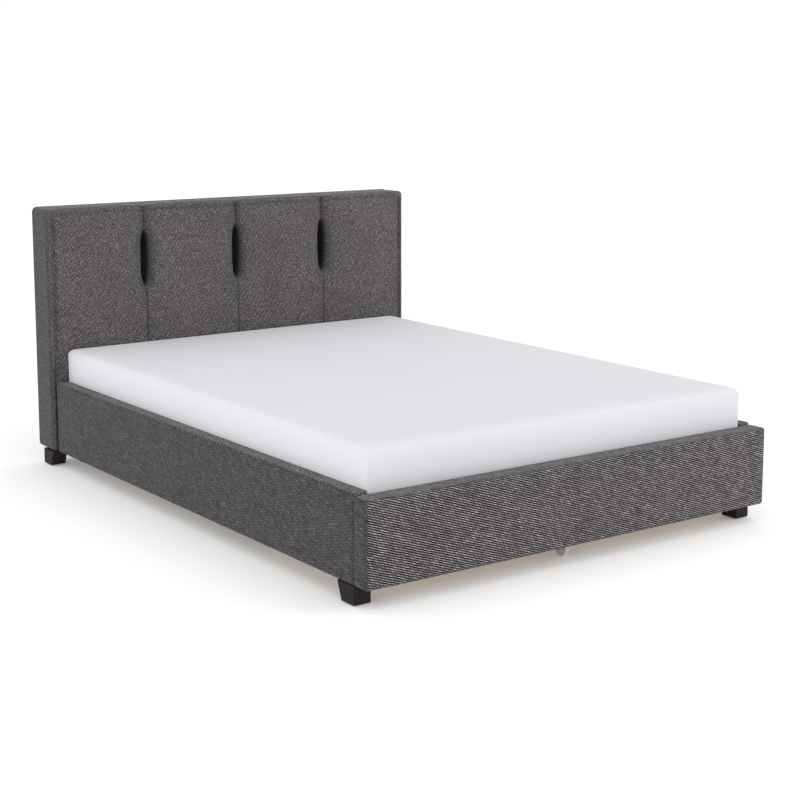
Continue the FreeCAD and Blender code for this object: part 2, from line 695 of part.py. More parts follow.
def make_mattress():
    """A quilted shell round the space of its spring unit."""
    low = "(slat_top + mattress_gap)"
    y_low = f"({HEAD_FACE} - mattress_back_gap - mattress_length)"
    body = new_body("mattress_body")
    outline = sketch_on(body, "XY_Plane")
    rectangle(outline, "-mattress_width / 2", "0", "mattress_width / 2", "mattress_length")
    pad(body, outline, "mattress_thick")
    fillet(body, "mattress_edge", lambda edge: runs_along(edge, "z"))
    fillet(body, "mattress_edge", lambda edge: not runs_along(edge, "z")
           and (lies_at(edge, "z", "0") or lies_at(edge, "z", "mattress_thick")))
    place(body, "0", y_low, low)
    core = block("0", f"{y_low} + mattress_wall", f"{low} + mattress_wall",
                 "(mattress_width - 2 * mattress_wall)", "(mattress_length - 2 * mattress_wall)",
                 "(mattress_thick - 2 * mattress_wall)")
    shell = doc.addObject("Part::Cut", "MattressShell")
    shell.Base = body
    shell.Tool = core
    node(shell, "mattress")


# ---- the bed ---------------------------------------------------------------------------------

make_headboard_cover()
make_headboard_frame()
make_legs()
for side, sign in SIDES:
    make_side_rail(side, sign)
make_deck()
make_brackets()
make_drawer_front()
make_drawer_box()
make_guides()
make_wheels()
make_mattress()
doc.recompute()

for item in doc.Objects:
    if "Invalid" in item.State or "Error" in item.State:
        raise RuntimeError(f"{item.Label} failed to compute")
for item in nodes:
    if item.Shape.isNull() or not item.Shape.isValid() or not item.Shape.Solids:
        raise RuntimeError(f"{item.Label} has no valid solid")
for item in nodes:
    item.Shape.exportStep(f"parts/{item.Label}.step")
print(len(nodes), "nodes,", round(sum(item.Shape.Volume for item in nodes) / 1e9, 4), "cubic metres")
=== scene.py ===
import json
import math

import bpy
import numpy as np
from mathutils import Euler, Matrix, Vector, noise


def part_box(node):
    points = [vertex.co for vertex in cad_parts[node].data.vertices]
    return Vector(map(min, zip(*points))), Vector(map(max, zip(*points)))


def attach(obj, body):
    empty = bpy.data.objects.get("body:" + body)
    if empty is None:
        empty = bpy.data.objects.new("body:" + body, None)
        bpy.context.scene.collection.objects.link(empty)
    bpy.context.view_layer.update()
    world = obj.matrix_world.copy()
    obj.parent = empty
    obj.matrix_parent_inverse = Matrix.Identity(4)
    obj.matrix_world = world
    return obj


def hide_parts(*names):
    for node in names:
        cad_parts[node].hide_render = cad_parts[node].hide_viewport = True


# Looks for an upholstered queen bed with a roll-out drawer: padded pieces are built here over the
# CAD boards, and every CAD piece that shows gets a material. Sizes are metres.

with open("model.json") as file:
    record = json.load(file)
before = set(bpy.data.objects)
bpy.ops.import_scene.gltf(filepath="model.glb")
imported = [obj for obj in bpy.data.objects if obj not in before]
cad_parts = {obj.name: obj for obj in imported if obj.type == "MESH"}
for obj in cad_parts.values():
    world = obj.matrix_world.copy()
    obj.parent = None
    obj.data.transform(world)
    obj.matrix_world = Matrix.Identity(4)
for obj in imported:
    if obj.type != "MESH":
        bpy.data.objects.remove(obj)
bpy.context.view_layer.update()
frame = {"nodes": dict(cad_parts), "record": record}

MM = 0.001
SEAMS = (-0.415, 0.0, 0.415)  # headboard seams along X; they split it into four equal panels
BOARD_FIT = 0.0005  # air between an upholstered piece and the board inside it
CLOTH_FRAMES = 20
FOAM_PRESSURE = 4.0
STUDIO_LEVEL = 1.13  # the white studio's mean brightness
BRIGHT_SIDE = (-0.05, -0.10, -0.12)  # how much the brightness changes along X, Y and Z


# ---- camera, light and floor -----------------------------------------------------------------

CAMERA_PLACE = (-3.314, -4.767, 1.519)
CAMERA_DOWN = 8.74  # degrees below level
CAMERA_TURN = -35.64  # degrees about Z from the head's direction
LENS = 73.15  # for a sensor 36 mm wide
LENS_SHIFT = -0.10


def add_camera():
    data = bpy.data.cameras.new("Camera")
    data.sensor_width = 36
    data.lens = LENS
    data.shift_y = LENS_SHIFT
    data.clip_end = 100
    camera = bpy.data.objects.new("Camera", data)
    camera.location = CAMERA_PLACE
    camera.rotation_euler = Euler((math.radians(90 - CAMERA_DOWN), 0, math.radians(CAMERA_TURN)))
    bpy.context.scene.collection.objects.link(camera)
    bpy.context.scene.camera = camera


def add_area_light(name, location, target, size, power):
    data = bpy.data.lights.new(name, "AREA")
    data.shape = "DISK"
    data.size = size
    data.energy = power
    light = bpy.data.objects.new(name, data)
    light.location = location
    direction = Vector(target) - Vector(location)
    light.rotation_euler = direction.to_track_quat("-Z", "Y").to_euler()
    bpy.context.scene.collection.objects.link(light)


def add_white_world():
    """White all round, and brighter towards one side."""
    world = bpy.data.worlds.new("Studio")
    world.use_nodes = True
    tree = world.node_tree
    direction = tree.nodes.new("ShaderNodeTexCoord").outputs["Generated"]
    towards = tree.nodes.new("ShaderNodeVectorMath")
    towards.operation = "DOT_PRODUCT"
    towards.inputs[1].default_value = BRIGHT_SIDE
    tree.links.new(direction, towards.inputs[0])
    strength = tree.nodes.new("ShaderNodeMath")
    strength.operation = "ADD"
    strength.inputs[1].default_value = STUDIO_LEVEL
    tree.links.new(towards.outputs["Value"], strength.inputs[0])
    tree.links.new(strength.outputs[0], tree.nodes["Background"].inputs["Strength"])
    tree.nodes["Background"].inputs["Color"].default_value = (1, 1, 1, 1)
    bpy.context.scene.world = world


def add_floor():
    """A pale plain floor that glows a little, so that it stays white like the background."""
    half = 30.0
    corners = [(-half, -half, 0), (half, -half, 0), (half, half, 0), (-half, half, 0)]
    mesh = bpy.data.meshes.new("studio_floor")
    mesh.from_pydata(corners, [], [(0, 1, 2, 3)])
    floor = bpy.data.objects.new("studio_floor", mesh)
    bpy.context.scene.collection.objects.link(floor)
    material = bpy.data.materials.new("studio_floor")
    material.use_nodes = True
    surface = material.node_tree.nodes["Principled BSDF"]
    surface.inputs["Base Color"].default_value = (0.93, 0.93, 0.93, 1)
    surface.inputs["Roughness"].default_value = 0.9
    surface.inputs["Specular IOR Level"].default_value = 0.1
    surface.inputs["Emission Color"].default_value = (1, 1, 1, 1)
    surface.inputs["Emission Strength"].default_value = 0.14
    mesh.materials.append(material)


# ---- materials -------------------------------------------------------------------------------


class Shader:
    """A material's node tree with short calls for the nodes used here."""

    def __init__(self, name):
        self.material = bpy.data.materials.new(name)
        self.material.use_nodes = True
        self.tree = self.material.node_tree
        self.surface = self.tree.nodes["Principled BSDF"]

    def node(self, kind, **settings):
        made = self.tree.nodes.new("ShaderNode" + kind)
        for key, value in settings.items():
            setattr(made, key, value)
        return made

    def feed(self, socket, value):
        """A number or colour is set on the socket, and another node's output is linked to it."""
        if isinstance(value, bpy.types.NodeSocket):
            self.tree.links.new(value, socket)
        else:
            socket.default_value = value

    def math(self, operation, first, second=0.0):
        made = self.node("Math", operation=operation)
        self.feed(made.inputs[0], first)
        self.feed(made.inputs[1], second)
        return made.outputs[0]

    def mix(self, share, first, second, blend="MIX"):
        """Two colours mixed; the sockets numbered 6, 7 and 2 are the node's colour ones."""
        made = self.node("Mix", data_type="RGBA", blend_type=blend)
        self.feed(made.inputs["Factor"], share)
        self.feed(made.inputs[6], first)
        self.feed(made.inputs[7], second)
        return made.outputs[2]

    def multiply(self, first, second):
        return self.mix(1.0, first, second, "MULTIPLY")

    def noise(self, vector, scale, detail=2.0, roughness=0.5):
        made = self.node("TexNoise")
        self.feed(made.inputs["Vector"], vector)
        made.inputs["Scale"].default_value = scale
        made.inputs["Detail"].default_value = detail
        made.inputs["Roughness"].default_value = roughness
        return made.outputs["Fac"]

    def ramp(self, value, stops):
        """Colour stops as (position, colour); a colour may be one grey level."""
        made = self.node("ValToRGB")
        elements = made.color_ramp.elements
        while len(elements) < len(stops):
            elements.new(0.5)
        for element, (position, colour) in zip(elements, stops):
            element.position = position
            element.color = (*colour, 1) if isinstance(colour, tuple) else (colour, colour, colour, 1)
        self.feed(made.inputs["Fac"], value)
        return made.outputs["Color"]

    def bump(self, height, strength, distance):
        made = self.node("Bump")
        made.inputs["Strength"].default_value = strength
        made.inputs["Distance"].default_value = distance
        self.feed(made.inputs["Height"], height)
        self.feed(self.surface.inputs["Normal"], made.outputs["Normal"])

    def set(self, **constants):
        """Constant values on the surface shader's own sockets."""
        for key, value in constants.items():
            self.surface.inputs[key.replace("_", " ")].default_value = value

    def place(self, stretch=(1, 1, 1)):
        """Object coordinates, which are metres here, stretched along each axis."""
        made = self.node("Mapping")
        made.inputs["Scale"].default_value = stretch
        self.feed(made.inputs["Vector"], self.node("TexCoord").outputs["Object"])
        return made.outputs["Vector"]


def woven_floats(shader, weave, row_pitch, float_length, float_gap):
    """Slanted rows of yarn floats: how far the yarn bulges, and a random value for each float."""
    twill_angle = math.radians(-19)
    row_stagger = 0.37  # each row starts this share of a float further on
    row_gap = 6.0  # the higher, the wider the dark gaps between rows
    parts = shader.node("SeparateXYZ")
    shader.feed(parts.inputs[0], weave)
    unevenness = shader.math("SUBTRACT", shader.noise(weave, 40.0), 0.5)
    wobble = shader.math("MULTIPLY", unevenness, 2.5 * MM)
    u, v = parts.outputs[0], shader.math("ADD", parts.outputs[1], wobble)
    along = shader.math("ADD", shader.math("MULTIPLY", u, math.cos(twill_angle)),
                        shader.math("MULTIPLY", v, math.sin(twill_angle)))
    across = shader.math("SUBTRACT", shader.math("MULTIPLY", v, math.cos(twill_angle)),
                         shader.math("MULTIPLY", u, math.sin(twill_angle)))
    row_place = shader.math("DIVIDE", across, row_pitch)
    row = shader.math("FLOOR", row_place)
    in_row = shader.math("FRACT", row_place)
    cell_place = shader.math("ADD", shader.math("DIVIDE", along, float_length),
                             shader.math("MULTIPLY", row, row_stagger))
    cell = shader.math("FLOOR", cell_place)
    in_cell = shader.math("FRACT", cell_place)
    cell_vector = shader.node("CombineXYZ")
    shader.feed(cell_vector.inputs[0], cell)
    shader.feed(cell_vector.inputs[1], row)
    chance = shader.node("TexWhiteNoise", noise_dimensions="2D")
    shader.feed(chance.inputs["Vector"], cell_vector.outputs[0])

    def bulge(place, power):
        parabola = shader.math("MULTIPLY", shader.math("MULTIPLY", place, 4.0),
                               shader.math("SUBTRACT", 1.0, place))
        return shader.math("POWER", parabola, power)

    yarn = shader.math("MULTIPLY", bulge(in_row, row_gap), bulge(in_cell, float_gap))
    return yarn, chance.outputs["Value"]


def make_tweed(name, row_pitch, float_length, float_gap, painted_side_tone, level):
    """Grey tweed: twill rows of yarn floats in mixed greys, with fuzzy fibres over them.

    Cloth that faces sideways is painted darker by its side tone, as painted shade, and level scales
    every tone.
    """
    shader = Shader(name)
    weave = shader.node("UVMap", uv_map="weave").outputs["UV"]
    yarn, chance = woven_floats(shader, weave, row_pitch, float_length, float_gap)
    fibre = shader.noise(weave, 330.0, 2.0, 0.6)
    float_colour = shader.ramp(chance, [
        (0.0, (0.22, 0.203, 0.21)), (0.4, (0.33, 0.305, 0.314)),
        (0.9, (0.43, 0.40, 0.41)), (1.0, (0.56, 0.53, 0.54)),
    ])
    ground = (0.006, 0.005, 0.0055, 1)
    woven = shader.mix(yarn, ground, float_colour)
    fuzz = shader.ramp(fibre, [(0.32, 0.3), (0.68, 1.7)])
    patches = shader.ramp(shader.noise(weave, 5.0), [(0.3, 0.92), (0.7, (1.08, 1.07, 1.07))])
    # Painted shade: cloth whose normal points along X is painted darker than cloth that faces the
    # front.
    facing = shader.node("SeparateXYZ")
    shader.feed(facing.inputs[0], shader.node("TexCoord").outputs["Normal"])
    sideways = shader.math("ABSOLUTE", facing.outputs[0])
    painted_side_shade = shader.ramp(sideways, [(0.1, level), (0.9, level * painted_side_tone)])
    # Painted shade: the cloth is painted darker, down to 0.12, deep in its seams, pleats and end
    # gaps.
    painted_crease_shade = shader.node("Attribute", attribute_name="painted_crease_shade").outputs["Fac"]
    painted_crease_tone = shader.ramp(painted_crease_shade, [(0.0, 1.0), (1.0, (0.12, 0.12, 0.13))])
    colour = woven
    for tone in (fuzz, patches, painted_side_shade, painted_crease_tone):
        colour = shader.multiply(colour, tone)
    shader.feed(shader.surface.inputs["Base Color"], colour)
    relief = shader.math("ADD", yarn, shader.math("MULTIPLY", fibre, 0.5))
    shader.bump(relief, 0.6, 0.6 * MM)
    shader.set(Roughness=0.92, Sheen_Weight=0.12, Sheen_Roughness=0.5, Specular_IOR_Level=0.1)
    return shader.material


def make_ticking():
    """White stretch-knit mattress cover."""
    shader = Shader("white_ticking")
    place = shader.place()
    knit = shader.node("TexVoronoi", feature="F1")
    shader.feed(knit.inputs["Vector"], place)
    knit.inputs["Scale"].default_value = 420.0
    soft = shader.noise(place, 3.0, 2.0)
    colour = shader.ramp(soft, [(0.3, (0.675, 0.668, 0.702)), (0.7, (0.690, 0.683, 0.717))])
    shader.feed(shader.surface.inputs["Base Color"], colour)
    relief = shader.math("ADD", knit.outputs["Distance"], shader.math("MULTIPLY", soft, 0.4))
    shader.bump(relief, 0.25, 0.6 * MM)
    shader.set(Roughness=0.95, Sheen_Weight=0.1, Specular_IOR_Level=0.2)
    return shader.material


def make_wood(name, dark, light, grain_axis, roughness, coat=0.0):
    """Timber with grain stretched along one axis, finer pores, and softened colour patches."""
    shader = Shader(name)
    stretch = [26.0, 26.0, 26.0]
    stretch[grain_axis] = 1.6
    place = shader.place(tuple(stretch))
    streaks = shader.noise(place, 1.6, 3.0, 0.6)
    pores = shader.noise(place, 14.0, 4.0, 0.65)
    grain = shader.math("ADD", shader.math("MULTIPLY", streaks, 0.7),
                        shader.math("MULTIPLY", pores, 0.4))
    colour = shader.ramp(grain, [(0.15, dark), (0.95, light)])
    shader.feed(shader.surface.inputs["Base Color"], colour)
    shader.feed(shader.surface.inputs["Roughness"],
                shader.math("ADD", shader.math("MULTIPLY", pores, 0.12), roughness))
    shader.bump(grain, 0.2, 0.4 * MM)
    shader.set(Coat_Weight=coat, Coat_Roughness=0.25, Specular_IOR_Level=0.2)
    return shader.material


def make_lining():
    """Dark dust cloth stretched over the headboard's back."""
    shader = Shader("lining_board")
    place = shader.place()
    fibres = shader.noise(place, 260.0, 4.0, 0.75)
    slack = shader.noise(place, 4.0, 3.0, 0.5)
    cloth = shader.ramp(fibres, [(0.35, (0.014, 0.014, 0.016)), (0.65, (0.050, 0.050, 0.053))])
    worn = shader.ramp(slack, [(0.3, 0.75), (0.7, 1.25)])
    shader.feed(shader.surface.inputs["Base Color"], shader.multiply(cloth, worn))
    shader.bump(shader.math("ADD", fibres, shader.math("MULTIPLY", slack, 6.0)), 0.4, 0.8 * MM)
    shader.set(Roughness=0.95, Sheen_Weight=0.15)
    return shader.material


def make_metal(name, colour, metallic, roughness, streak):
    """Steel, bare or powder coated, with fine surface texture."""
    shader = Shader(name)
    place = shader.place((1, 1, streak))
    texture = shader.noise(place, 500.0, 3.0, 0.6)
    darker = tuple(channel * 0.8 for channel in colour)
    mottled = shader.ramp(texture, [(0.3, darker), (0.7, colour)])
    shader.feed(shader.surface.inputs["Base Color"], mottled)
    shader.feed(shader.surface.inputs["Roughness"],
                shader.math("ADD", shader.math("MULTIPLY", texture, 0.2), roughness - 0.1))
    shader.bump(texture, 0.15, 0.2 * MM)
    shader.set(Metallic=metallic)
    return shader.material


def make_plastic(name, colour, roughness):
    """Moulded plastic with a fine spark-eroded texture and slight scuffs."""
    shader = Shader(name)
    place = shader.place()
    texture = shader.noise(place, 900.0, 2.0)
    scuffs = shader.noise(place, 60.0, 4.0, 0.7)
    lighter = tuple(min(1.0, channel * 1.12) for channel in colour)
    scuffed = shader.ramp(scuffs, [(0.35, colour), (0.75, lighter)])
    shader.feed(shader.surface.inputs["Base Color"], scuffed)
    shader.feed(shader.surface.inputs["Roughness"],
                shader.math("ADD", shader.math("MULTIPLY", scuffs, 0.25), roughness - 0.12))
    shader.bump(texture, 0.12, 0.15 * MM)
    return shader.material


def make_materials():
    """The cloth of the headboard's front is finer than that of the rails."""
    pine = ((0.38, 0.24, 0.12), (0.62, 0.45, 0.27))
    birch = ((0.50, 0.36, 0.21), (0.68, 0.54, 0.36))
    espresso = ((0.008, 0.005, 0.0045), (0.020, 0.013, 0.012))
    return {
        "grey_tweed": make_tweed("grey_tweed", row_pitch=6.8 * MM, float_length=16 * MM,
                                 float_gap=0.3, painted_side_tone=0.52, level=0.98),
        "headboard_tweed": make_tweed("headboard_tweed", row_pitch=4.6 * MM, float_length=7 * MM,
                                      float_gap=0.9, painted_side_tone=0.62, level=1.17),
        "white_ticking": make_ticking(),
        "espresso_wood": make_wood("espresso_wood", *espresso, grain_axis=2, roughness=0.55),
        "frame_timber": make_wood("frame_timber", *pine, grain_axis=1, roughness=0.62),
        "slat_wood": make_wood("slat_wood", *birch, grain_axis=0, roughness=0.55),
        "drawer_board": make_wood("drawer_board", *birch, grain_axis=1, roughness=0.45, coat=0.1),
        "plywood": make_wood("plywood", *pine, grain_axis=0, roughness=0.6),
        "lining_board": make_lining(),
        "black_steel": make_metal("black_steel", (0.022, 0.022, 0.024),
                                  metallic=0.0, roughness=0.45, streak=1.0),
        "zinc_steel": make_metal("zinc_steel", (0.60, 0.61, 0.63),
                                 metallic=1.0, roughness=0.38, streak=0.2),
        "grey_plastic": make_plastic("grey_plastic", (0.55, 0.55, 0.54), roughness=0.45),
        "black_plastic": make_plastic("black_plastic", (0.030, 0.030, 0.030), roughness=0.55),
    }


def paint_cad_pieces(materials):
    for part in frame["record"]["subparts"]:
        piece = frame["nodes"][part["node"]]
        piece.data.materials.clear()
        piece.data.materials.append(materials[part["material_slot"]])


# ---- upholstered boxes -----------------------------------------------------------------------
#
# A padded piece is made in its own frame: X across, Z up from its lower edge, Y from -depth at the
# padded face to 0 at its back. An optional recess in the back takes the board.


def spaced(low, high, step):
    """Grid lines from low to high, step apart; a short last step is joined to the one before."""
    lines = [low]
    while lines[-1] < high - 1e-9:
        lines.append(min(high, lines[-1] + step))
    if lines[-1] - lines[-2] < 0.4 * step:
        lines.pop(-2)
    return lines


def with_lines(lines, *extra):
    """Grid lines with some exact ones added, and near doubles of those left out."""
    kept = [line for line in lines if all(abs(line - place) > 0.8 * MM for place in extra)]
    return sorted(kept + list(extra))


class PaddedBox:
    """Builds the faces of a box from grid lines, with a recess in its back and a weave map."""

    def __init__(self, xs, ys, zs, recess=None):
        self.lines = (xs, ys, zs)
        self.points, self.index, self.faces, self.maps, self.outer = [], {}, [], [], []
        self.recess = recess
        i_end, k_end, j_end = len(xs) - 1, len(ys) - 1, len(zs) - 1
        x_end, depth, height = xs[-1], -ys[0], zs[-1]
        for i in range(i_end):
            for j in range(j_end):
                self.quad([(i, 0, j), (i + 1, 0, j), (i + 1, 0, j + 1), (i, 0, j + 1)],
                          self.front_map)
                if not self.in_recess(i, j):
                    self.quad([(i, k_end, j), (i, k_end, j + 1),
                               (i + 1, k_end, j + 1), (i + 1, k_end, j)], self.front_map)
        for k in range(k_end):
            for j in range(j_end):
                self.quad([(0, k, j), (0, k, j + 1), (0, k + 1, j + 1), (0, k + 1, j)],
                          lambda p: (xs[0] - (p[1] + depth), p[2]))
                self.quad([(i_end, k, j), (i_end, k + 1, j),
                           (i_end, k + 1, j + 1), (i_end, k, j + 1)],
                          lambda p: (x_end + (p[1] + depth), p[2]))
            for i in range(i_end):
                self.quad([(i, k, 0), (i, k + 1, 0), (i + 1, k + 1, 0), (i + 1, k, 0)],
                          lambda p: (p[0], -(p[1] + depth)))
                self.quad([(i, k, j_end), (i + 1, k, j_end),
                           (i + 1, k + 1, j_end), (i, k + 1, j_end)],
                          lambda p: (p[0], height + (p[1] + depth)))
        if recess:
            self.close_recess()

    @staticmethod
    def front_map(point):
        return point[0], point[2]

    def corner(self, key):
        if key not in self.index:
            self.index[key] = len(self.points)
            i, k, j = key
            self.points.append((self.lines[0][i], self.lines[1][k], self.lines[2][j]))
            self.outer.append(True)
        return self.index[key]

    def quad(self, keys, to_map):
        corners = [self.corner(key) for key in keys]
        self.faces.append(corners)
        self.maps.append([to_map(self.points[c]) for c in corners])

    def in_recess(self, i, j):
        if not self.recess:
            return False
        xs, _, zs = self.lines
        x_low, z_low, x_high, z_high, _ = self.recess
        middle_x, middle_z = (xs[i] + xs[i + 1]) / 2, (zs[j] + zs[j + 1]) / 2
        return x_low < middle_x < x_high and z_low < middle_z < z_high

    def close_recess(self):
        """Walls and a flat end for the recess, joined to the back's rim."""
        xs, ys, zs = self.lines
        x_low, z_low, x_high, z_high, floor_y = self.recess
        i_low, i_high = xs.index(x_low), xs.index(x_high)
        j_low, j_high = zs.index(z_low), zs.index(z_high)
        loop = [(i, j_low) for i in range(i_low, i_high)]
        loop += [(i_high, j) for j in range(j_low, j_high)]
        loop += [(i, j_high) for i in range(i_high, i_low, -1)]
        loop += [(i_low, j) for j in range(j_high, j_low, -1)]
        rim = [self.corner((i, len(ys) - 1, j)) for i, j in loop]
        inner = []
        for i, j in loop:
            inner.append(len(self.points))
            self.points.append((xs[i], floor_y, zs[j]))
            self.outer.append(False)
        for c in rim:
            self.outer[c] = False
        count = len(loop)
        for n in range(count):
            m = (n + 1) % count
            corners = [rim[n], rim[m], inner[m], inner[n]]
            self.faces.append(corners)
            self.maps.append([self.front_map(self.points[c]) for c in corners])
        self.faces.append(inner)
        self.maps.append([self.front_map(self.points[c]) for c in inner])

    def rounded(self, radius, flat_back=True, mitred=False):
        """The points, with the box's outer edges rounded; mitred keeps its upright edges sharp."""
        points = np.array(self.points)
        low = np.array([lines[0] for lines in self.lines]) + radius
        high = np.array([lines[-1] for lines in self.lines]) - radius
        if flat_back:
            high[1] = self.lines[1][-1]
        core = np.clip(points, low, high)
        away = points - core
        reach = np.abs(away).max(axis=1)
        length = np.linalg.norm(away, axis=1)
        if mitred:
            length = np.hypot(np.abs(away[:, :2]).max(axis=1), away[:, 2])
        moved = core + away * (reach / np.maximum(length, 1e-9))[:, None]
        return np.where(np.array(self.outer)[:, None], moved, points)

    def make(self, name, points, material):
        """A mesh object in the box's own frame, which remembers each point's first place."""
        mesh = bpy.data.meshes.new(name)
        mesh.from_pydata(points.tolist(), [], self.faces)
        weave = mesh.uv_layers.new(name="weave")
        flat = [pair for face in self.maps for pair in face]
        weave.data.foreach_set("uv", np.array(flat).ravel())
        rest = mesh.attributes.new("rest", "FLOAT_VECTOR", "POINT")
        rest.data.foreach_set("vector", points.ravel())
        mesh.materials.append(material)
        piece = bpy.data.objects.new(name, mesh)
        bpy.context.scene.collection.objects.link(piece)
        return piece


def places(mesh):
    """A mesh's points as an array."""
    found = np.empty(len(mesh.vertices) * 3)
    mesh.vertices.foreach_get("co", found)
    return found.reshape(-1, 3)


def rest_places(mesh):
    """Where each point was before the cloth simulation."""
    found = np.empty(len(mesh.vertices) * 3)
    mesh.attributes["rest"].data.foreach_get("vector", found)
    return found.reshape(-1, 3)


def set_places(mesh, points):
    mesh.vertices.foreach_set("co", points.ravel())
    mesh.update()


def evaluated_mesh(piece):
    """A new mesh with the object's modifiers applied."""
    graph = bpy.context.evaluated_depsgraph_get()
    return bpy.data.meshes.new_from_object(piece.evaluated_get(graph), depsgraph=graph)


def add_cloth(piece, held):
    """Cloth blown out by foam pressure, and held by its seams, edges and back."""
    group = piece.vertex_groups.new(name="held")
    group.add([int(index) for index in np.flatnonzero(held)], 1.0, "REPLACE")
    cloth = piece.modifiers.new("Cloth", "CLOTH")
    cloth.settings.vertex_group_mass = "held"
    cloth.settings.use_pressure = True
    cloth.settings.uniform_pressure_force = FOAM_PRESSURE
    cloth.settings.effector_weights.gravity = 0
    cloth.settings.quality = 4
    cloth.settings.bending_stiffness = 2.0
    cloth.point_cache.frame_start = 1
    cloth.point_cache.frame_end = CLOTH_FRAMES


def run_cloth(caps):
    """Runs the cloth of all pieces together, then applies it; no point moves past its cap."""
    for step in range(1, CLOTH_FRAMES + 1):
        bpy.context.scene.frame_set(step)
    for piece, cap in caps.items():
        blown = evaluated_mesh(piece)
        start = places(piece.data)
        moved = places(blown) - start
        length = np.linalg.norm(moved, axis=1)
        kept = cap * np.tanh(length / cap) / np.maximum(length, 1e-9)
        set_places(piece.data, start + moved * kept[:, None])
        bpy.data.meshes.remove(blown)
        piece.modifiers.remove(piece.modifiers["Cloth"])
        piece.vertex_groups.clear()
    bpy.context.scene.frame_set(1)


def refine(piece):
    """Divides each face into four without moving the surface."""
    finer = piece.modifiers.new("Finer", "SUBSURF")
    finer.subdivision_type = "SIMPLE"
    finer.levels = 1
    fine = evaluated_mesh(piece)
    piece.modifiers.remove(finer)
    coarse = piece.data
    piece.data = fine
    bpy.data.meshes.remove(coarse)
    fine.name = piece.name


def put_in_place(piece, turn, place):
    """Turns the finished mesh about Z and moves it to where the CAD solid is."""
    mesh = piece.data
    mesh.transform(Matrix.Translation(Vector(place)) @ Matrix.Rotation(turn, 4, "Z"))
    mesh.polygons.foreach_set("use_smooth", [True] * len(mesh.polygons))
    mesh.set_sharp_from_angle(angle=math.radians(60))
    mesh.attributes.remove(mesh.attributes["rest"])
    mesh.update()


def soft_noise(points, scale, height, seed):
    """Gentle unevenness of foam under cloth, the same on every run."""
    offset = Vector((seed * 7.3, seed * 3.1, seed * 5.7))
    return np.array([noise.noise(Vector(p) * scale + offset) for p in points]) * height


def bell(distance, reach):
    """1 at no distance, falling smoothly to almost 0 at twice the reach."""
    return np.exp(-(distance / reach) ** 2)


def smooth_step(low, high, value):
    """0 before low and 1 past high, with a smooth rise between."""
    t = np.clip((value - low) / (high - low), 0, 1)
    return t * t * (3 - 2 * t)


# ---- headboard -------------------------------------------------------------------------------

HEAD_EDGE = 20 * MM
CREASE_INSET = 24 * MM  # from the headboard's outline to the sewn line inside it
CREASE_DEPTH = 8 * MM
CREASE_WIDTH = 8 * MM
HELD_AT_CREASE = 4 * MM  # how far to each side of a sewn line the foam can't lift the cloth
HELD_AT_SEAM = 6 * MM
PLEAT_REACH = 48 * MM  # how far to each side of its seam a pleat pulls the cloth in
PLEAT_DEPTH = 52 * MM
PLEAT_TOP_GAP = 215 * MM  # from the headboard's top to a pleat's middle
PLEAT_HALF = 122 * MM  # half of a pleat's length
VALLEY_DEPTH = 9 * MM  # the soft hollow round each pleat and above it
VALLEY_REACH = 50 * MM
NOTCH_DEPTH = 6 * MM  # the dip in the top edge at each seam
NOTCH_REACH = 14 * MM
CROWN = 3 * MM  # how far each panel's middle stands out beyond its seams
TOP_CROWN = 4 * MM  # the same along the top edge
HEAD_SLACK = 3 * MM  # how far behind its face the cloth starts, before the foam lifts it
HEAD_SWELL = 7 * MM  # the most that the foam may lift the cloth


def seam_depth(x, z, height):
    """How far the cloth lies behind the headboard's face, from its seams and pleats.

    Each seam is a fine groove that widens to a soft valley near the top. Between the two it is
    pinched into a deep almond-shaped pleat.
    """
    pleat_middle = height - PLEAT_TOP_GAP
    along = np.clip(np.abs(z - pleat_middle) / PLEAT_HALF, 0, 1)
    pleat_depth = PLEAT_DEPTH * (1 - along ** 3.2)
    above = smooth_step(pleat_middle + 60 * MM, pleat_middle + 130 * MM, z)
    groove_width = (5 + 26 * above) * MM
    groove_depth = (3 + 8 * above) * MM
    valley_depth = VALLEY_DEPTH * smooth_step(pleat_middle - 1.6 * PLEAT_HALF, pleat_middle, z)
    deepest = np.zeros_like(x)
    for seam in SEAMS:
        away = np.abs(x - seam)
        groove = groove_depth * np.clip(1 - away / groove_width, 0, 1) ** 2
        pleat = pleat_depth * np.clip(1 - away / PLEAT_REACH, 0, 1) ** 2.9
        valley = valley_depth * bell(away, VALLEY_REACH)
        deepest = np.maximum(deepest, np.maximum(groove, pleat) + valley)
    return deepest


def panel_fall(x, half):
    """0 in the middle of a panel, rising to 1 at its two seams or at the headboard's edge."""
    edges = np.array([-half, *SEAMS, half])
    position = np.clip(np.searchsorted(edges, x) - 1, 0, len(edges) - 2)
    middle = (edges[position] + edges[position + 1]) / 2
    reach = (edges[position + 1] - edges[position]) / 2
    return np.clip(np.abs(x - middle) / reach, 0, 1) ** 3


def to_nearest_seam(x):
    return np.min([np.abs(x - seam) for seam in SEAMS], axis=0)


def to_outline(x, z, half, height):
    """Distance to the headboard's nearer side or its top, whichever is less."""
    return np.minimum(half - np.abs(x), height - z)


def facing_front(y, depth):
    """1 on the headboard's front, 0 behind its rounded edge."""
    return smooth_step(-depth + 1.2 * HEAD_EDGE, -depth + 0.3 * HEAD_EDGE, y)


def headboard_lines(half, depth, height):
    """Grid lines of the headboard's box, and the closer ones along its rounded edges."""
    step = 14 * MM
    rims = [HEAD_EDGE * s / 5 for s in range(9)]
    flat = HEAD_EDGE * 1.9
    xs = spaced(-half + flat, half - flat, step)
    zs = spaced(flat, height - flat, step)
    ys = [r - depth for r in rims[:5]] + spaced(-depth + HEAD_EDGE, 0, step)
    x_rims = [r - half for r in rims] + [half - r for r in rims]
    z_rims = rims + [height - r for r in rims]
    return xs, ys, zs, x_rims, z_rims


def lines_at_seam(seam):
    """A seam's own line, and eight to each side that spread apart away from it."""
    spread = [PLEAT_REACH * (n / 8) ** 1.6 for n in range(1, 9)]
    return [seam] + [seam - away for away in spread] + [seam + away for away in spread]


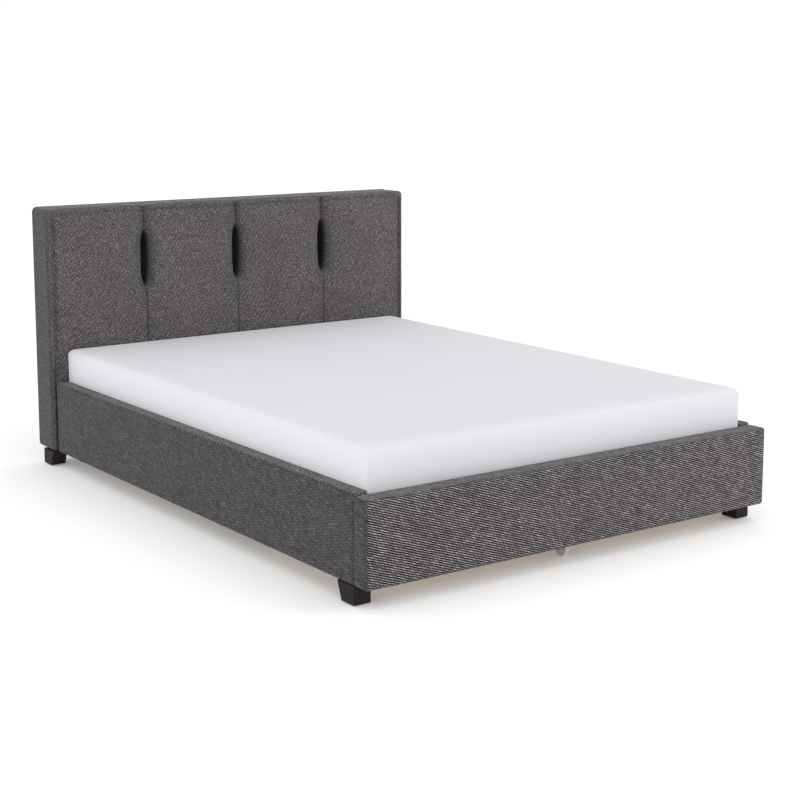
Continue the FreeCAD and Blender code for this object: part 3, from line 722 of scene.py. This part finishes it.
def make_headboard(materials):
    low, high = (np.array(corner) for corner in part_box("headboard_cover"))
    panel_low, panel_high = (np.array(corner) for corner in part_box("headboard_front_panel"))
    width, depth, height = high - low
    half = width / 2
    inner = panel_high[0] + BOARD_FIT
    z_recess = (panel_low[2] - low[2] - BOARD_FIT, panel_high[2] - low[2] + BOARD_FIT)
    floor_y = panel_low[1] - high[1] - BOARD_FIT
    xs, ys, zs, x_rims, z_rims = headboard_lines(half, depth, height)
    xs = with_lines(xs, -inner, inner, *x_rims)
    zs = with_lines(zs, *z_recess, *z_rims)
    for seam in SEAMS:
        clear = [line for line in xs if abs(line - seam) > PLEAT_REACH + 4 * MM]
        xs = sorted(clear + lines_at_seam(seam))
    box = PaddedBox(xs, ys, zs, (-inner, z_recess[0], inner, z_recess[1], floor_y))
    points = box.rounded(HEAD_EDGE)
    x, y, z = points.T
    facing = facing_front(y, depth) * np.array(box.outer)
    points[:, 1] += facing * HEAD_SLACK
    at_seam = to_nearest_seam(x) < HELD_AT_SEAM
    at_crease = np.abs(to_outline(x, z, half, height) - CREASE_INSET) < HELD_AT_CREASE
    held = (facing == 0) | at_seam | at_crease
    piece = box.make("headboard_upholstery", points, materials["headboard_tweed"])
    add_cloth(piece, held)
    return piece


def finish_headboard(piece):
    low, high = (np.array(corner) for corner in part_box("headboard_cover"))
    width, depth, height = high - low
    half = width / 2
    refine(piece)
    rest = rest_places(piece.data)
    points = places(piece.data)
    x, y, z = rest.T
    facing = facing_front(y, depth)
    inside = 1 - smooth_step(half - 30 * MM, half, np.abs(x))
    fall = panel_fall(x, half) * inside
    seams = seam_depth(x, z, height) * inside
    crease = CREASE_DEPTH * bell(to_outline(x, z, half, height) - CREASE_INSET, CREASE_WIDTH)
    unevenness = np.abs(soft_noise(rest, scale=7.0, height=2 * MM, seed=1))
    points[:, 1] += facing * (seams + CROWN * fall + crease + unevenness)
    lay_weave_into_seams(piece.data, x, facing * seams)
    away = to_nearest_seam(x)
    # Painted shade deep in the seams and pleats, and a thin line of painted shade along each seam.
    painted_seam_shade = 0.5 * facing * bell(away, 2 * MM)
    paint_crease_shade(piece, np.maximum(smooth_step(12 * MM, 32 * MM, facing * seams), painted_seam_shade))
    on_top = smooth_step(height - 2 * HEAD_EDGE, height - 0.2 * HEAD_EDGE, z) * (y < -10 * MM)
    notch = NOTCH_DEPTH * bell(away, NOTCH_REACH) * smooth_step(-30 * MM, -depth, y)
    points[:, 2] -= on_top * (TOP_CROWN * fall + notch)
    set_places(piece.data, points)
    put_in_place(piece, 0.0, (0, high[1], low[2]))
    declare_padded(piece, "bed_frame", "grey_tweed", 0.8, "headboard_cover")


def paint_crease_shade(piece, amount):
    """Painted shade where the cloth folds into a seam or a gap, from 0 to 1 at each vertex."""
    painted_crease_shade = piece.data.attributes.new("painted_crease_shade", "FLOAT", "POINT")
    painted_crease_shade.data.foreach_set("value", amount)


def lay_weave_into_seams(mesh, x, depth):
    """The weave follows the cloth down into each seam, from both sides."""
    loops = np.empty(len(mesh.loops), dtype=int)
    mesh.loops.foreach_get("vertex_index", loops)
    middles = np.array([x[list(face.vertices)].mean() for face in mesh.polygons])
    counts = np.array([face.loop_total for face in mesh.polygons])
    nearest = np.array(SEAMS)[np.argmin([np.abs(middles - seam) for seam in SEAMS], axis=0)]
    side = np.repeat(np.sign(nearest - middles), counts)
    weave = mesh.uv_layers["weave"]
    flat = np.empty(len(loops) * 2)
    weave.data.foreach_get("uv", flat)
    flat[0::2] += side * depth[loops]
    weave.data.foreach_set("uv", flat)


def declare_padded(piece, body, slot, fill, *nodes):
    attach(piece, body)
    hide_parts(*nodes)


# ---- rails and drawer front ------------------------------------------------------------------

RAIL_EDGE = 11 * MM
RAIL_SLACK = 2 * MM
RAIL_SWELL = 3 * MM
FOOT_END_PULL = 4 * MM  # the rail cloth is drawn tight over the end of its board


def wrapped_board(name, size, board_low, board_high, material):
    """A padded tray over a board, in its own frame; the board is given in the same frame.

    The origin is in the middle of the back's lower edge, and the padded face looks along -Y.
    """
    width, depth, height = size
    half = width / 2
    edge = RAIL_EDGE
    x_low, z_low = board_low[0] - BOARD_FIT, board_low[2] - BOARD_FIT
    x_high, z_high = board_high[0] + BOARD_FIT, board_high[2] + BOARD_FIT
    floor_y = board_low[1] - BOARD_FIT
    rims = [edge * s / 4 for s in range(4)]
    xs = spaced(-half + edge, half - edge, 18 * MM)
    ys = [r - depth for r in rims] + spaced(-depth + edge, 0, 10 * MM)
    zs = spaced(edge, height - edge, 18 * MM)
    xs = with_lines(xs, x_low, x_high, *(r - half for r in rims), *(half - r for r in rims))
    zs = with_lines(zs, z_low, z_high, *rims, *(height - r for r in rims))
    box = PaddedBox(xs, ys, zs, (x_low, z_low, x_high, z_high, floor_y))
    points = box.rounded(edge)
    facing = points[:, 1] < -depth + 0.3 * edge
    points[:, 1] += np.where(facing, RAIL_SLACK, 0)
    piece = box.make(name, points, material)
    add_cloth(piece, ~facing)
    return piece


def finish_wrapped_board(piece, seed, turn, place, body, node):
    refine(piece)
    rest = rest_places(piece.data)
    points = places(piece.data)
    x, y, _ = rest.T
    depth = -y.min()
    facing = smooth_step(-depth + 2 * RAIL_EDGE, -depth, y)
    points[:, 1] += facing * np.abs(soft_noise(rest, scale=6.0, height=1.5 * MM, seed=seed))
    at_end = smooth_step(x.max() - 2 * MM, x.max(), np.abs(x))
    # Painted shade at each end of the piece, along its rounded front edge, where it meets the next
    # piece.
    paint_crease_shade(piece, 0.6 * at_end * bell(y + depth - RAIL_EDGE, 3 * MM))
    set_places(piece.data, points)
    put_in_place(piece, turn, place)
    declare_padded(piece, body, "grey_tweed", 0.9, node)


def make_drawer_front(materials):
    low, high = (np.array(corner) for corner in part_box("drawer_front_cover"))
    shift = np.array([0, high[1], low[2]])
    board_low, board_high = (np.array(corner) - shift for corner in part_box("drawer_front_board"))
    return wrapped_board("drawer_front_upholstery", high - low, board_low, board_high,
                         materials["grey_tweed"])


def finish_drawer_front(piece):
    low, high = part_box("drawer_front_cover")
    finish_wrapped_board(piece, 2, 0.0, (0, high[1], low[2]),
                         "storage_drawer", "drawer_front_cover")


def side_rail_place(side):
    """The rail's turn about Z, and the place of its inner face's lower middle."""
    low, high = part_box(f"side_rail_cover_{side}")
    sign = 1 if side == "right" else -1
    inner_face = low[0] if sign > 0 else high[0]
    return sign * math.pi / 2, (inner_face, (low[1] + high[1]) / 2, low[2])


def make_side_rail(side, materials):
    low, high = (np.array(corner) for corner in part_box(f"side_rail_cover_{side}"))
    size = (high[1] - low[1], high[0] - low[0], high[2] - low[2])
    inner_face = side_rail_place(side)[1][0]
    board = [np.array(corner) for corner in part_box(f"side_rail_board_{side}")]
    reach = max(abs(board[0][0] - inner_face), abs(board[1][0] - inner_face))
    half_board = (board[1][1] - board[0][1]) / 2
    board_low = np.array([-half_board, -reach, board[0][2] - low[2]])
    board_high = np.array([half_board, 0, board[1][2] - low[2]])
    return wrapped_board(f"side_rail_upholstery_{side}", size, board_low, board_high,
                         materials["grey_tweed"])


def finish_side_rail(piece, side, seed):
    turn, place = side_rail_place(side)
    points = places(piece.data)
    sign = math.copysign(1, turn)
    towards_foot = -sign * points[:, 0]
    pulled = smooth_step(towards_foot.max() - 2 * RAIL_EDGE, towards_foot.max(), towards_foot)
    points[:, 0] += sign * FOOT_END_PULL * pulled
    set_places(piece.data, points)
    finish_wrapped_board(piece, seed, turn, place, "bed_frame", f"side_rail_cover_{side}")


# ---- mattress --------------------------------------------------------------------------------

MATTRESS_EDGE = 26 * MM
MATTRESS_SLACK = 2 * MM
MATTRESS_SWELL = 4 * MM


def make_mattress(materials):
    low, high = (np.array(corner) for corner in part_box("mattress"))
    width, length, height = high - low
    half = width / 2
    edge = MATTRESS_EDGE
    rims = [edge * s / 5 for s in range(5)]
    xs = spaced(-half + edge, half - edge, 30 * MM)
    ys = spaced(-length + edge, -edge, 30 * MM)
    zs = spaced(edge, height - edge, 16 * MM)
    xs = with_lines(xs, *(r - half for r in rims), *(half - r for r in rims))
    ys = with_lines(ys, *(r - length for r in rims), *(-r for r in rims))
    zs = with_lines(zs, *rims, *(height - r for r in rims))
    box = PaddedBox(xs, ys, zs)
    points = box.rounded(edge, flat_back=False, mitred=True)
    x, y, z = points.T
    to_side = np.minimum(half - np.abs(x), np.minimum(-y, y + length))
    on_side = to_side < 0.1 * MM
    on_top = z > height - 0.1 * MM
    held = ~on_side & ~on_top
    points[:, 2] -= on_top * MATTRESS_SLACK * smooth_step(10 * MM, 100 * MM, to_side)
    piece = box.make("mattress_pad", points, materials["white_ticking"])
    add_cloth(piece, held)
    return piece


def finish_mattress(piece):
    low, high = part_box("mattress")
    refine(piece)
    put_in_place(piece, 0.0, (0, high[1], low[2]))
    declare_padded(piece, "mattress", "white_ticking", 0.9, "mattress")


# ---- the scene -------------------------------------------------------------------------------

bpy.context.scene.view_settings.view_transform = "Standard"
add_camera()
add_white_world()
add_area_light("Key", location=(4.2, -4.2, 2.4), target=(0, 0.6, 0.5), size=1.4, power=48)
add_area_light("Side fill", location=(-5.0, -1.0, 0.9), target=(-0.8, 0.2, 0.4), size=1.8, power=26)
add_floor()
materials = make_materials()
paint_cad_pieces(materials)

headboard = make_headboard(materials)
drawer_front = make_drawer_front(materials)
left_rail = make_side_rail("left", materials)
right_rail = make_side_rail("right", materials)
mattress = make_mattress(materials)
run_cloth({
    headboard: HEAD_SWELL,
    drawer_front: RAIL_SWELL,
    left_rail: RAIL_SWELL,
    right_rail: RAIL_SWELL,
    mattress: MATTRESS_SWELL,
})
finish_headboard(headboard)
finish_drawer_front(drawer_front)
finish_side_rail(left_rail, "left", 3)
finish_side_rail(right_rail, "right", 4)
finish_mattress(mattress)
